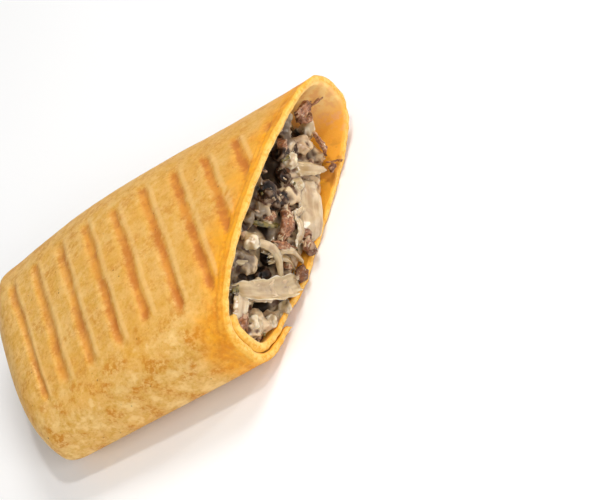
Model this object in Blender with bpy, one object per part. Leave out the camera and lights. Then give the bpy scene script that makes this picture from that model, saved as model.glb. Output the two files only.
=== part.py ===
"""Half of a grilled beef wrap, cut on the slant and lying on one of its broad sides.

X runs from the folded end to the tip of the slanted cut, Y across the wrap from its short
side to its long side, and Z up. Metres. The wrap rests on Z = 0, with its box centred on
the origin. A tortilla sheet is rolled round a creamy filling: one layer on the top and the
long side, two under the filling and round the short side. The grill left grooves across
both broad sides, and the filling stops short of the tip, where the roll is hollow.
"""

import math
import random

import bmesh
import bpy
from mathutils import Matrix, Vector, noise

MM = 0.001

# Driving dimensions of the half
LONG_SIDE = 120 * MM
SHORT_SIDE = 81 * MM
WIDTH = 76 * MM
END_WIDTH = 70 * MM
HEIGHT = 32 * MM
END_HEIGHT = 25 * MM
SHEET = 2.1 * MM
GAP = 0.35 * MM
SLIT = 0.5 * MM

# The box's centre, counted from the middle of the folded end
BOX_CENTRE_X = 60.95 * MM

# Section: how square the broad sides and the edges are, and where the widest point lies
SIDE_SQUARENESS = 2.7
TOP_SQUARENESS = 2.9
BOTTOM_SQUARENESS = 3.3
WIDEST_AT = 0.46
FLATTENED_BY = 1.04

# Folded end: its length, the thickness it is pressed to, and how its corners are cut back
NOSE_LENGTH = 15 * MM
NOSE_PRESSED = 0.28
CORNER_INSET = 14 * MM
CORNER_ROUND = 3 * MM
END_FADES_BY = 28 * MM
TIP_DROOP = 0.10
SIDE_HOLLOW = 0.035

# Grill grooves
GROOVE_PITCH = 10.2 * MM
GROOVE_FIRST = 18.6 * MM
GROOVE_COUNT = 10
GROOVE_HALF_WIDTH = 2.4 * MM
GROOVE_DEPTH = 0.9 * MM
GROOVE_SLANT = 0.161
GROOVE_BEND = 1.8
GROOVE_MIDDLE_Y = -5 * MM
GROOVE_FADE = 4 * MM
GROOVE_TOP_Y = 19 * MM
GROOVE_LOW_Y = -24 * MM
UNDER_GROOVE_DEPTH = 0.5 * MM
UNDER_GROOVE_Y = 24 * MM

# The outer layer's free edge, a low step along the short side
SEAM_ANGLE = math.radians(203)
SEAM_STEP = 0.9 * MM
WAVE = 0.35 * MM

# The filling: how far its pieces stand out of its core sideways, its face behind the rim,
# and the hollow at the tip
PIECE_PROUD = 0.4 * MM
FACE_RECESS = 4.0 * MM
HOLLOW_START = 69 * MM
HOLLOW_SLOPE = math.radians(38)

RING_STEPS = 40
CORE_STEPS = 32
PAST_CUT = 16 * MM
SEED = 5


def ease(value):
    """A soft step from 0 to 1."""
    value = min(max(value, 0.0), 1.0)
    return value * value * (3 - 2 * value)


def power(value, exponent):
    """A signed power, for the rounded-box outline of a section."""
    return math.copysign(abs(value) ** exponent, value)


# The slanted cut: its corner on the short side, and the directions along and out of it
CUT_RUN = Vector((LONG_SIDE - SHORT_SIDE, WIDTH, 0))
CUT_LENGTH = CUT_RUN.length
ALONG = CUT_RUN.normalized()
OUT = Vector((ALONG.y, -ALONG.x, 0))
UP = Vector((0, 0, 1))
CUT_CORNER = Vector((SHORT_SIDE - BOX_CENTRE_X, -WIDTH / 2, 0))


def on_cut(along, up, out=0.0):
    """The point this far along the cut from its short side, up, and out of its plane."""
    return CUT_CORNER + ALONG * along + UP * up + OUT * out


def half_width(station):
    return (END_WIDTH + (WIDTH - END_WIDTH) * ease(station / (0.6 * LONG_SIDE))) / 2


def height(station, y):
    """The roll swells from its folded end, and droops a little towards the cut's tip."""
    swell = END_HEIGHT + (HEIGHT - END_HEIGHT) * ease(station / (0.75 * SHORT_SIDE))
    past = ease((station - 0.75 * SHORT_SIDE) / (LONG_SIDE - 0.75 * SHORT_SIDE))
    return swell * (1 - TIP_DROOP * past * ease((y / half_width(station) + 0.3) / 1.3))


def outline(station, angle):
    """A point of the section, as y and z: angle 0 is the long side, a quarter turn the top."""
    fullness = (1 - max(1 - station / NOSE_LENGTH, 0) ** 2.2) ** (1 / 2.2)
    width_share = 0.90 + 0.10 * fullness
    y = half_width(station) * power(math.cos(angle), 2 / SIDE_SQUARENESS) * width_share
    if y > 0:
        y *= 1 - SIDE_HOLLOW * math.sin(math.pi * min(station / LONG_SIDE, 1)) ** 2
    tall = height(station, y)
    widest = WIDEST_AT * tall
    lift = math.sin(angle)
    if lift >= 0:
        z = widest + (tall - widest) * lift ** (2 / TOP_SQUARENESS)
    else:
        z = max(0, widest * (1 - FLATTENED_BY * (-lift) ** (2 / BOTTOM_SQUARENESS)))
    fold_height = 0.75 * widest
    return y, fold_height + (z - fold_height) * (NOSE_PRESSED + (1 - NOSE_PRESSED) * fullness)


def skin_point(station, angle, inset=0.0):
    """A point of the roll's skin, or of the same skin this far inside it."""
    y, z = outline(station, angle)
    if inset:
        y_next, z_next = outline(station, angle + 0.02)
        y_last, z_last = outline(station, angle - 0.02)
        tangent = Vector((y_next - y_last, z_next - z_last))
        if tangent.length > 0:
            tangent.normalize()
            y -= tangent.y * inset
            z += tangent.x * inset
    side = y / half_width(station)
    cut_back = CORNER_INSET * max(0.5 - 0.5 * side, 0) ** 1.3 + CORNER_ROUND * abs(side) ** 4
    near_end = (1 - min(station / END_FADES_BY, 1)) ** 1.5
    off = y - GROOVE_MIDDLE_Y
    slant = (GROOVE_SLANT + GROOVE_BEND * off) * off * ease(station / (20 * MM))
    x = station + near_end * cut_back - slant
    return Vector((x - BOX_CENTRE_X, y, z))


def groove_shape(station):
    """1 in the middle of a groove and 0 between two of them."""
    place = (station - GROOVE_FIRST) / GROOVE_PITCH
    nearest = min(max(round(place), 0), GROOVE_COUNT - 1)
    off = abs(place - nearest) * GROOVE_PITCH / GROOVE_HALF_WIDTH
    return 0.5 + 0.5 * math.cos(math.pi * off) if off < 1 else 0.0


def relief_point(station, angle):
    """The outer skin with its grill grooves, its slight waves and the outer layer's step."""
    point = skin_point(station, angle)
    lift = math.sin(angle)
    groove = groove_shape(station)
    if lift > 0:
        fade_in = ease((GROOVE_TOP_Y + GROOVE_FADE - point.y) / GROOVE_FADE)
        fade_out = ease((point.y - GROOVE_LOW_Y + GROOVE_FADE) / GROOVE_FADE)
        point.z -= GROOVE_DEPTH * groove * fade_in * fade_out
        point.z += WAVE * noise.noise(point / (14 * MM)) * ease(station / NOSE_LENGTH)
    elif point.z < 0.2 * MM:
        inside = ease((UNDER_GROOVE_Y + GROOVE_FADE - abs(point.y)) / GROOVE_FADE)
        point.z += UNDER_GROOVE_DEPTH * groove * inside
    below_seam = ease((angle - SEAM_ANGLE) / math.radians(5))
    above_floor = ease((math.radians(262) - angle) / math.radians(30))
    point.y -= SEAM_STEP * below_seam * above_floor * ease(station / NOSE_LENGTH)
    return point


def layers(angle):
    """How many layers of the sheet lie under this part of the skin: one, or two."""
    turn = math.degrees(angle) % 360
    return 1 + ease((turn - 145) / 15) * ease((262 - turn) / 15)


def stations():
    """Where the skin's sections lie: close together over each groove, wider between."""
    values = [0, 0.6 * MM, 2 * MM, 5 * MM, 9 * MM]
    for number in range(GROOVE_COUNT):
        middle = GROOVE_FIRST + number * GROOVE_PITCH
        values += [middle + share * GROOVE_HALF_WIDTH for share in (-1, -0.45, 0.45, 1)]
    last = LONG_SIDE + PAST_CUT
    return values + [last - 12 * MM, last]


def turn_angles(count):
    return [2 * math.pi * step / count for step in range(count)]


def skin_angles():
    """Even steps round the roll, with one more pair to draw the seam's step."""
    extra = [SEAM_ANGLE, SEAM_ANGLE + math.radians(5)]
    return sorted(turn_angles(RING_STEPS) + extra)


def loft(name, rings, collection, thin=False):
    """A closed solid through rings of points that all have the same number of points. A
    thin ring runs out along one side and back along the other, so its ends close across."""
    bm = bmesh.new()
    loops = [[bm.verts.new(point) for point in ring] for ring in rings]
    count = len(loops[0])
    for first, second in zip(loops, loops[1:]):
        for step in range(count):
            after = (step + 1) % count
            bm.faces.new((first[step], first[after], second[after], second[step]))
    for loop in (loops[0], loops[-1]):
        if thin:
            for step in range(count // 2 - 1):
                bm.faces.new((loop[step], loop[step + 1], loop[-2 - step], loop[-1 - step]))
            continue
        middle = bm.verts.new(sum((vert.co for vert in loop), Vector()) / count)
        for step in range(count):
            bm.faces.new((loop[step], loop[(step + 1) % count], middle))
    return finish(name, bm, collection)


def finish(name, bm, collection):
    """Turns a built shape into an object of the collection, its faces pointing out."""
    bmesh.ops.triangulate(bm, faces=bm.faces[:])
    bmesh.ops.recalc_face_normals(bm, faces=bm.faces[:])
    mesh = bpy.data.meshes.new(name)
    bm.to_mesh(mesh)
    bm.free()
    obj = bpy.data.objects.new(name, mesh)
    collection.objects.link(obj)
    return obj


def boolean(target, tool, operation, solver="EXACT"):
    """Cuts, joins or trims the target with an object or a collection, and applies it."""
    modifier = target.modifiers.new("boolean", "BOOLEAN")
    modifier.operation = operation
    modifier.solver = solver
    if isinstance(tool, bpy.types.Collection):
        modifier.operand_type = "COLLECTION"
        modifier.collection = tool
    else:
        modifier.object = tool
    bpy.context.view_layer.update()
    evaluated = target.evaluated_get(bpy.context.evaluated_depsgraph_get())
    result = bpy.data.meshes.new_from_object(evaluated)
    target.modifiers.clear()
    target.data = result


def remove_loose_scraps(obj):
    """Keeps the largest body of a mesh, and drops what a cut left loose beside it."""
    bm = bmesh.new()
    bm.from_mesh(obj.data)
    unseen = set(bm.verts)
    bodies = []
    while unseen:
        body = [unseen.pop()]
        for vert in body:
            for edge in vert.link_edges:
                other = edge.other_vert(vert)
                if other in unseen:
                    unseen.remove(other)
                    body.append(other)
        bodies.append(body)
    bodies.sort(key=len)
    for body in bodies[:-1]:
        bmesh.ops.delete(bm, geom=body, context="VERTS")
    bmesh.ops.triangulate(bm, faces=bm.faces[:])
    bm.to_mesh(obj.data)
    bm.free()


def slab_cutter(name, origin, normal, collection, size=200 * MM):
    """A big box that lies on the far side of the plane through origin with this normal."""
    bm = bmesh.new()
    bmesh.ops.create_cube(bm, size=size)
    bmesh.ops.translate(bm, verts=bm.verts, vec=(0, 0, size / 2))
    turn = normal.to_track_quat("Z", "Y").to_matrix().to_4x4()
    bmesh.ops.transform(bm, matrix=Matrix.Translation(origin) @ turn, verts=bm.verts)
    return finish(name, bm, collection)


def cavity_rings(gap=0.0):
    """The roll's inside, as rings from its folded end to past the cut, or a filling that
    keeps this gap to it and starts one ring later."""
    places = [9 * MM, 12 * MM, 16 * MM, 24 * MM, 36 * MM, 50 * MM, 64 * MM, 80 * MM,
              96 * MM, 112 * MM, LONG_SIDE + PAST_CUT]
    rings = []
    for place in places:
        thicker = 1 + 1.2 * max(1 - (place - places[0]) / (10 * MM), 0)
        rings.append([skin_point(place, angle, layers(angle) * SHEET * thicker + gap)
                      for angle in turn_angles(CORE_STEPS)])
    return rings[1:] if gap else rings


def layer_slit_rings():
    """The thin gap between the two layers that shows at the rim, a few millimetres deep."""
    slit_angles = [math.radians(156 + 100 * step / 14) for step in range(15)]
    rings = []
    for depth in (-5 * MM, 3 * MM):
        ring = []
        for inset, angles in ((SHEET, slit_angles), (SHEET + SLIT, slit_angles[::-1])):
            for angle in angles:
                station = SHORT_SIDE
                for _ in range(4):
                    reached = (skin_point(station, angle, inset) - CUT_CORNER).dot(OUT)
                    station += (depth - reached) / OUT.x
                ring.append(skin_point(station, angle, inset))
        rings.append(ring)
    return rings


def build_tortilla(parts, cutters):
    rings = [[relief_point(place, angle) for angle in skin_angles()] for place in stations()]
    tortilla = loft("tortilla", rings, parts)
    cavity = loft("cavity_cutter", cavity_rings(), cutters)
    slit = loft("slit_cutter", layer_slit_rings(), cutters, thin=True)
    slant = slab_cutter("slant_cutter", on_cut(0, 0), OUT, cutters)
    for cutter in (slant, cavity):
        boolean(tortilla, cutter, "DIFFERENCE")
    boolean(tortilla, slit, "DIFFERENCE", "MANIFOLD")
    remove_loose_scraps(tortilla)
    return tortilla


def strip(name, start, end, breadth, thickness, bend, lean, collection):
    """A bent strip of onion, cabbage or meat between two places on the filling's face."""
    path_start = on_cut(start[0] * MM, start[1] * MM, -FACE_RECESS)
    path_end = on_cut(end[0] * MM, end[1] * MM, -FACE_RECESS)
    run = (path_end - path_start).normalized()
    side = run.cross(OUT).normalized()
    breadth_way = side * math.cos(lean) + OUT * math.sin(lean)
    thick_way = run.cross(breadth_way).normalized()
    rings = []
    for step in range(7):
        share = step / 6
        swell = math.sin(math.pi * share)
        middle = path_start.lerp(path_end, share) + side * bend * MM * swell
        middle += OUT * (0.3 + 2.2 * swell) * MM
        full = 0.35 + 0.65 * swell ** 0.5
        ring = []
        for turn in turn_angles(8):
            across = breadth_way * math.cos(turn) * breadth * full
            ring.append(middle + (across + thick_way * math.sin(turn) * thickness) * MM / 2)
        rings.append(ring)
    return loft(name, rings, collection)


def chunk(name, place, size, stand, collection):
    """A rounded lump of meat, mushroom or sauce on the filling's face."""
    bm = bmesh.new()
    bmesh.ops.create_icosphere(bm, subdivisions=2, radius=0.5)
    shift = Vector((place[0], place[1], size[0]))
    for vert in bm.verts:
        vert.co *= 1 + CHUNK_ROUGHNESS * noise.noise(vert.co * 2.3 + shift)
    axes = Matrix((ALONG * size[0] * MM, UP * size[1] * MM, OUT * size[2] * MM)).transposed()
    centre = on_cut(place[0] * MM, place[1] * MM, -FACE_RECESS + stand * MM)
    bmesh.ops.transform(bm, matrix=Matrix.Translation(centre) @ axes.to_4x4(), verts=bm.verts)
    return finish(name, bm, collection)


# The pieces that show in the cut, in millimetres along the cut and up.
# Strips: start, end, breadth, thickness, bend, lean in degrees
STRIPS = [
    ((14, 24), (27, 5), 8.0, 2.4, 0.5, 12),
    ((31, 24), (25, 9), 5.0, 3.0, -3.0, 10),
    ((33, 15), (37, 5), 2.6, 2.2, 2.4, 20),
    ((60, 9), (39, 6.5), 7.0, 2.0, 1.0, -30),
    ((58, 17), (63, 6.5), 6.0, 2.4, 0.4, 15),
    ((34, 24), (41, 14), 3.4, 1.4, 0.8, 35),
    ((46, 17), (35, 12), 4.4, 3.4, 0.5, 0),
    ((46, 10), (38, 7), 3.4, 1.6, -0.8, 40),
    ((32, 13), (39, 8), 3.2, 2.4, 0.4, 0),
    ((13, 25), (10, 14), 6.0, 2.6, 0.8, -10),
    ((8, 8), (22, 6.5), 4.0, 3.0, -1.2, 0),
    ((73, 9), (68, 6.5), 1.6, 1.5, 0.6, 0),
]
# Lumps: place, size along, up and out, and how far they stand proud of the face
CHUNKS = [
    ((29.5, 23), (6.6, 6.0, 6.0), 2.4),
    ((46, 20), (8.5, 7.0, 7.0), 1.6),
    ((41, 21), (6.0, 5.5, 5.0), 1.0),
    ((57.5, 17), (5.2, 4.6, 4.6), 2.0),
    ((41.5, 6.5), (5.4, 4.4, 5.0), 2.4),
    ((33, 7), (5.0, 4.6, 4.6), 1.6),
    ((24, 20), (8.0, 7.5, 6.0), 0.6),
    ((5.8, 17.5), (6.0, 5.6, 5.6), 1.6),
    ((11, 10), (8.0, 6.5, 5.6), 1.8),
    ((71, 12), (5.6, 6.4, 5.0), 0.2),
    ((66, 11), (6.4, 5.6, 5.4), 1.0),
    ((63, 19), (5.6, 5.0, 5.0), 0.2),
    ((54, 21), (6.0, 5.0, 5.0), 0.8),
    ((50, 14), (6.4, 6.0, 5.6), 1.2),
    ((21, 14), (7.0, 6.0, 5.0), 0.4),
    ((36, 26), (7.0, 4.6, 5.0), 0.6),
    ((51, 26), (6.6, 4.8, 5.0), 0.6),
    ((16, 6), (7.0, 4.8, 5.4), 2.0),
    ((55, 9), (6.4, 5.0, 4.6), 0.6),
    ((28, 5.5), (6.0, 4.4, 4.8), 1.4),
]
CRUMB_COUNT = 20
CRUMB_SIZE = (3.2, 5.0)
CRUMB_ALONG = (6, 64)
CRUMB_UP = (8, 26)
SCRAP_PLACE = (74.5, 18.5)
SCRAP_SIZE = (6.4, 5.0, 4.4)
SCRAP_STAND = 0.6
CHUNK_ROUGHNESS = 0.45


def build_filling(parts, cutters):
    filling = loft("filling", cavity_rings(GAP + PIECE_PROUD), parts)
    pieces = bpy.data.collections.new("filling_pieces")
    bpy.context.scene.collection.children.link(pieces)
    for number, (start, end, breadth, thickness, bend, lean) in enumerate(STRIPS):
        name = f"strip_{number}"
        strip(name, start, end, breadth, thickness, bend, math.radians(lean), pieces)
    for number, (place, size, stand) in enumerate(CHUNKS):
        chunk(f"chunk_{number}", place, size, stand, pieces)
    draw = random.Random(SEED)
    for number in range(CRUMB_COUNT):
        share = (number + draw.random()) / CRUMB_COUNT
        along = CRUMB_ALONG[0] + (CRUMB_ALONG[1] - CRUMB_ALONG[0]) * share
        size = [draw.uniform(*CRUMB_SIZE) for _ in range(3)]
        chunk(f"crumb_{number}", (along, draw.uniform(*CRUMB_UP)), size, 0.8, pieces)

    face = slab_cutter("face_cutter", on_cut(0, 0, -FACE_RECESS), OUT, cutters)
    hollow_way = ALONG * math.cos(HOLLOW_SLOPE) + OUT * math.sin(HOLLOW_SLOPE)
    hollow_edge = on_cut(HOLLOW_START, 0, -FACE_RECESS)
    hollow = slab_cutter("hollow_cutter", hollow_edge, hollow_way, cutters)
    boolean(filling, face, "DIFFERENCE")
    boolean(filling, hollow, "DIFFERENCE")
    boolean(filling, pieces, "UNION", "MANIFOLD")
    room = loft("room_cutter", cavity_rings(GAP), cutters)
    boolean(filling, room, "INTERSECT", "MANIFOLD")
    for piece in list(pieces.objects):
        bpy.data.objects.remove(piece)
    bpy.data.collections.remove(pieces)
    remove_loose_scraps(filling)
    return filling


def build_scrap(parts):
    """The scrap of beef that clings to the wall of the hollow at the tip."""
    return chunk("beef_scrap", SCRAP_PLACE, SCRAP_SIZE, SCRAP_STAND, parts)


def add_material(obj, color, roughness):
    material = bpy.data.materials.new(obj.name)
    material.use_nodes = True
    shader = material.node_tree.nodes["Principled BSDF"]
    shader.inputs["Base Color"].default_value = (*color, 1)
    shader.inputs["Roughness"].default_value = roughness
    shader.inputs["Metallic"].default_value = 0
    obj.data.materials.clear()
    obj.data.materials.append(material)


def main():
    for obj in list(bpy.data.objects):
        bpy.data.objects.remove(obj)
    parts = bpy.data.collections.new("beef_wrap")
    cutters = bpy.data.collections.new("cutters")
    for collection in (parts, cutters):
        bpy.context.scene.collection.children.link(collection)

    tortilla = build_tortilla(parts, cutters)
    filling = build_filling(parts, cutters)
    scrap = build_scrap(parts)
    for cutter in cutters.objects:
        cutter.hide_render = True
        cutter.display_type = "WIRE"
    add_material(tortilla, (0.78, 0.52, 0.20), 0.62)
    add_material(filling, (0.52, 0.45, 0.33), 0.35)
    add_material(scrap, (0.36, 0.24, 0.17), 0.4)


main()
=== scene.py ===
# %% [markdown]
# # Half of a grilled beef wrap
# A wheat tortilla is rolled round a creamy beef filling, pressed in a contact grill and cut
# on the slant. This half lies on one broad side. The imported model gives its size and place,
# and the cells below dress it: first the camera and the light, then the rolled sheet, then
# the filling that shows in the cut.

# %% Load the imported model
import math
import random

import bmesh
import bpy
from mathutils import Matrix, Vector, noise


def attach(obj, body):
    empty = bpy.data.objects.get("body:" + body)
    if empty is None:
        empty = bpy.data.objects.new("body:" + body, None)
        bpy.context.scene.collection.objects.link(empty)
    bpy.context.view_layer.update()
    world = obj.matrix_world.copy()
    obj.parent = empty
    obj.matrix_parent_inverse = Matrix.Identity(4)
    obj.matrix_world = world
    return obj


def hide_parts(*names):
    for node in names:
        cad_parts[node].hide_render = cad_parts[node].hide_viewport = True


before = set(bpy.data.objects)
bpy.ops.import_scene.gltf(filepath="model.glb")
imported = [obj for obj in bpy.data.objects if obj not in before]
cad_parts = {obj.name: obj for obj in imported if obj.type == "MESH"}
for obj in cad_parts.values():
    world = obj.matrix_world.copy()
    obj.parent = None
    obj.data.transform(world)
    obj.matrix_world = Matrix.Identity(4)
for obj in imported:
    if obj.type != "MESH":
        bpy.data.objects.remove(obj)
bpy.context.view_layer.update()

# %% [markdown]
# The roll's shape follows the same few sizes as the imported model, so every new surface lies
# where the solid is. A station counts along the roll from its folded end, and a turn goes
# round it: 0 degrees on the long side, 90 on top, 180 on the short side, 270 underneath.

# %% Sizes of the roll
MM = 0.001
LONG_SIDE = 120 * MM
SHORT_SIDE = 81 * MM
WIDTH = 76 * MM
END_WIDTH = 70 * MM
HEIGHT = 32 * MM
END_HEIGHT = 25 * MM
SHEET = 2.1 * MM
LAYER_GAP = 0.4 * MM
BOX_CENTRE_X = 60.95 * MM

SIDE_SQUARENESS = 2.7
TOP_SQUARENESS = 2.9
BOTTOM_SQUARENESS = 3.3
WIDEST_AT = 0.46
FLATTENED_BY = 1.04
NOSE_LENGTH = 15 * MM
NOSE_PRESSED = 0.28
CORNER_INSET = 14 * MM
CORNER_ROUND = 3 * MM
END_FADES_BY = 28 * MM
TIP_DROOP = 0.10
SIDE_HOLLOW = 0.035
NOSE_ROUNDNESS = 2.2
END_NARROWING = 0.10
FOLD_HEIGHT = 0.75
WIDENS_BY = 0.6 * LONG_SIDE
SWELLS_BY = 0.75 * SHORT_SIDE

GROOVE_PITCH = 10.2 * MM
GROOVE_FIRST = 18.6 * MM
GROOVE_COUNT = 10
GROOVE_HALF_WIDTH = 2.4 * MM
GROOVE_DEPTH = 0.75 * MM
GROOVE_SLANT = 0.161
GROOVE_BEND = 1.8
GROOVE_MIDDLE_Y = -5 * MM
GROOVE_SLANTS_BY = 20 * MM
GROOVE_FADE = 4 * MM
GROOVE_TOP_Y = 19 * MM
GROOVE_LOW_Y = -24 * MM
UNDER_GROOVE_DEPTH = 0.5 * MM
UNDER_GROOVE_Y = 24 * MM

CUT_RUN = Vector((LONG_SIDE - SHORT_SIDE, WIDTH, 0))
ALONG = CUT_RUN.normalized()
OUT = Vector((ALONG.y, -ALONG.x, 0))
UP = Vector((0, 0, 1))
CUT_CORNER = Vector((SHORT_SIDE - BOX_CENTRE_X, -WIDTH / 2, 0))
print("the slanted cut is", round(CUT_RUN.length / MM, 1), "mm long")

# %% Shape of the roll
def ease(value):
    """A soft step from 0 to 1."""
    value = min(max(value, 0.0), 1.0)
    return value * value * (3 - 2 * value)


def power(value, exponent):
    return math.copysign(abs(value) ** exponent, value)


def on_cut(along, up, out):
    """A place on the cut's plane, in millimetres from its blunt corner, up, and out of it."""
    return CUT_CORNER + (ALONG * along + UP * up + OUT * out) * MM


def half_width(station):
    return (END_WIDTH + (WIDTH - END_WIDTH) * ease(station / WIDENS_BY)) / 2


def height(station, y):
    swell = END_HEIGHT + (HEIGHT - END_HEIGHT) * ease(station / SWELLS_BY)
    past = ease((station - SWELLS_BY) / (LONG_SIDE - SWELLS_BY))
    return swell * (1 - TIP_DROOP * past * ease((y / half_width(station) + 0.3) / 1.3))


def outline(station, turn, pressed):
    """A point of the section, as y and z. The folded end is pressed to this share."""
    left_of_nose = min(max(1 - station / NOSE_LENGTH, 0), 1)
    fullness = (1 - left_of_nose ** NOSE_ROUNDNESS) ** (1 / NOSE_ROUNDNESS)
    y = half_width(station) * power(math.cos(turn), 2 / SIDE_SQUARENESS)
    y *= 1 - END_NARROWING + END_NARROWING * fullness
    if y > 0:
        y *= 1 - SIDE_HOLLOW * math.sin(math.pi * min(station / LONG_SIDE, 1)) ** 2
    tall = height(station, y)
    widest = WIDEST_AT * tall
    lift = math.sin(turn)
    if lift >= 0:
        z = widest + (tall - widest) * lift ** (2 / TOP_SQUARENESS)
    else:
        z = max(0, widest * (1 - FLATTENED_BY * (-lift) ** (2 / BOTTOM_SQUARENESS)))
    fold = FOLD_HEIGHT * widest
    return y, fold + (z - fold) * (pressed + (1 - pressed) * fullness)


TURN_STEP = 0.02


def skin_point(station, turn, inset=0.0, pressed=NOSE_PRESSED):
    """A point of the roll's skin, or of the same skin this far inside it."""
    y, z = outline(station, turn, pressed)
    if inset:
        y_next, z_next = outline(station, turn + TURN_STEP, pressed)
        y_last, z_last = outline(station, turn - TURN_STEP, pressed)
        tangent = Vector((y_next - y_last, z_next - z_last))
        if tangent.length > 0:
            tangent.normalize()
            y -= tangent.y * inset
            z += tangent.x * inset
    side = y / half_width(station)
    cut_back = CORNER_INSET * max(0.5 - 0.5 * side, 0) ** 1.3 + CORNER_ROUND * abs(side) ** 4
    near_end = (1 - min(max(station, 0) / END_FADES_BY, 1)) ** 1.5
    off = y - GROOVE_MIDDLE_Y
    slant = (GROOVE_SLANT + GROOVE_BEND * off) * off * ease(station / GROOVE_SLANTS_BY)
    x = station + near_end * cut_back - slant
    return Vector((x - BOX_CENTRE_X, y, z))


def cut_station(turn, inset):
    """The station where this line of the roll meets the cut's plane."""
    station = SHORT_SIDE
    for _ in range(5):
        station -= (skin_point(station, turn, inset) - CUT_CORNER).dot(OUT) / OUT.x
    return station


def add_object(name, data):
    """Puts a new object with this data into the scene."""
    made = bpy.data.objects.new(name, data)
    bpy.context.scene.collection.objects.link(made)
    return made


print("skin on top at the middle:", skin_point(60 * MM, math.pi / 2))

# %% [markdown]
# ## Camera, light and floor
# The camera looks down on the shown side along the photograph's line of sight, and it is
# turned about that line so that the roll points up to the right. Large soft lights and a
# bright surround give the even light of a studio table.

# %% Camera
CAMERA_PLACE = Vector((0.2569, -0.4399, 0.4119))
CAMERA_AIM = Vector((0.0300, 0.0065, -0.0048))
CAMERA_UP = Vector((0.4564, 0.7327, 0.5049))
CAMERA_LENS = 142.4


def look_at(obj, place, aim, up):
    """Stands an object at a place, with its -Z to the aim and its +Y as near up as can be."""
    back = (place - aim).normalized()
    right = up.cross(back).normalized()
    turned = Matrix((right, back.cross(right), back)).transposed()
    obj.matrix_world = Matrix.Translation(place) @ turned.to_4x4()


camera = add_object("camera", bpy.data.cameras.new("camera"))
camera.data.lens = CAMERA_LENS
camera.data.clip_start = 0.01
look_at(camera, CAMERA_PLACE, CAMERA_AIM, CAMERA_UP)
bpy.context.scene.camera = camera
print("camera is", round((CAMERA_PLACE - CAMERA_AIM).length, 3), "m away")

# %% Lights and floor
LIGHT_AIM = Vector((0.01, 0, 0.01))
SURROUND_STRENGTH = 0.32
FLOOR_DROP = 0.2 * MM


def area_light(name, place, size, watts, color=(1, 1, 1)):
    light = add_object(name, bpy.data.lights.new(name, "AREA"))
    light.data.shape = "DISK"
    light.data.size = size
    light.data.energy = watts
    light.data.color = color
    look_at(light, Vector(place), LIGHT_AIM, Vector((0, 1, 0.01)))


area_light("key_light", (0.45, 0.42, 0.80), 0.35, 3.75, (1.0, 0.985, 0.96))
area_light("front_light", (0.60, -0.60, 0.45), 0.40, 3.2)
area_light("side_light", (-0.60, -0.45, 0.60), 0.60, 1.5)
area_light("glint_light", (0.30, -0.05, 0.70), 0.06, 1.2)
area_light("wet_light", (0.80, 0.10, 0.45), 0.08, 1.3)

world = bpy.data.worlds.new("studio")
world.use_nodes = True
surround = world.node_tree.nodes["Background"].inputs
surround["Color"].default_value = (1, 1, 1, 1)
surround["Strength"].default_value = SURROUND_STRENGTH
bpy.context.scene.world = world
bpy.context.scene.view_settings.view_transform = "Standard"

floor_mesh = bmesh.new()
bmesh.ops.create_grid(floor_mesh, x_segments=1, y_segments=1, size=3)
floor_data = bpy.data.meshes.new("floor")
floor_mesh.to_mesh(floor_data)
floor_mesh.free()
floor = add_object("floor", floor_data)
floor.location = (0, 0, -FLOOR_DROP)

# %% [markdown]
# ## How the finishes are written
# A finish is a sum and product of patterns, which reads best as a formula. A small class
# holds one output of a node and turns + - * into Math nodes, and another holds the
# material, with one method that makes any other node and one that lays coats of colour.

# %% Shader helpers
STREAK_STRETCH = 6.0


class Wire:
    """One output of a node, for use in formulas."""

    def __init__(self, finish, socket):
        self.finish = finish
        self.socket = socket

    def __add__(self, other):
        return self.finish.math("ADD", self, other)

    def __sub__(self, other):
        return self.finish.math("SUBTRACT", self, other)

    def __rsub__(self, other):
        return self.finish.math("SUBTRACT", other, self)

    def __mul__(self, other):
        return self.finish.math("MULTIPLY", self, other)

    __radd__ = __add__
    __rmul__ = __mul__

    def step(self, low, high):
        """0 below low, 1 above high, and soft between. Low may be the higher number."""
        return self.finish.node(
            "ShaderNodeMapRange", {"interpolation_type": "SMOOTHSTEP"},
            {"Value": self, "From Min": low, "From Max": high})


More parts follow.
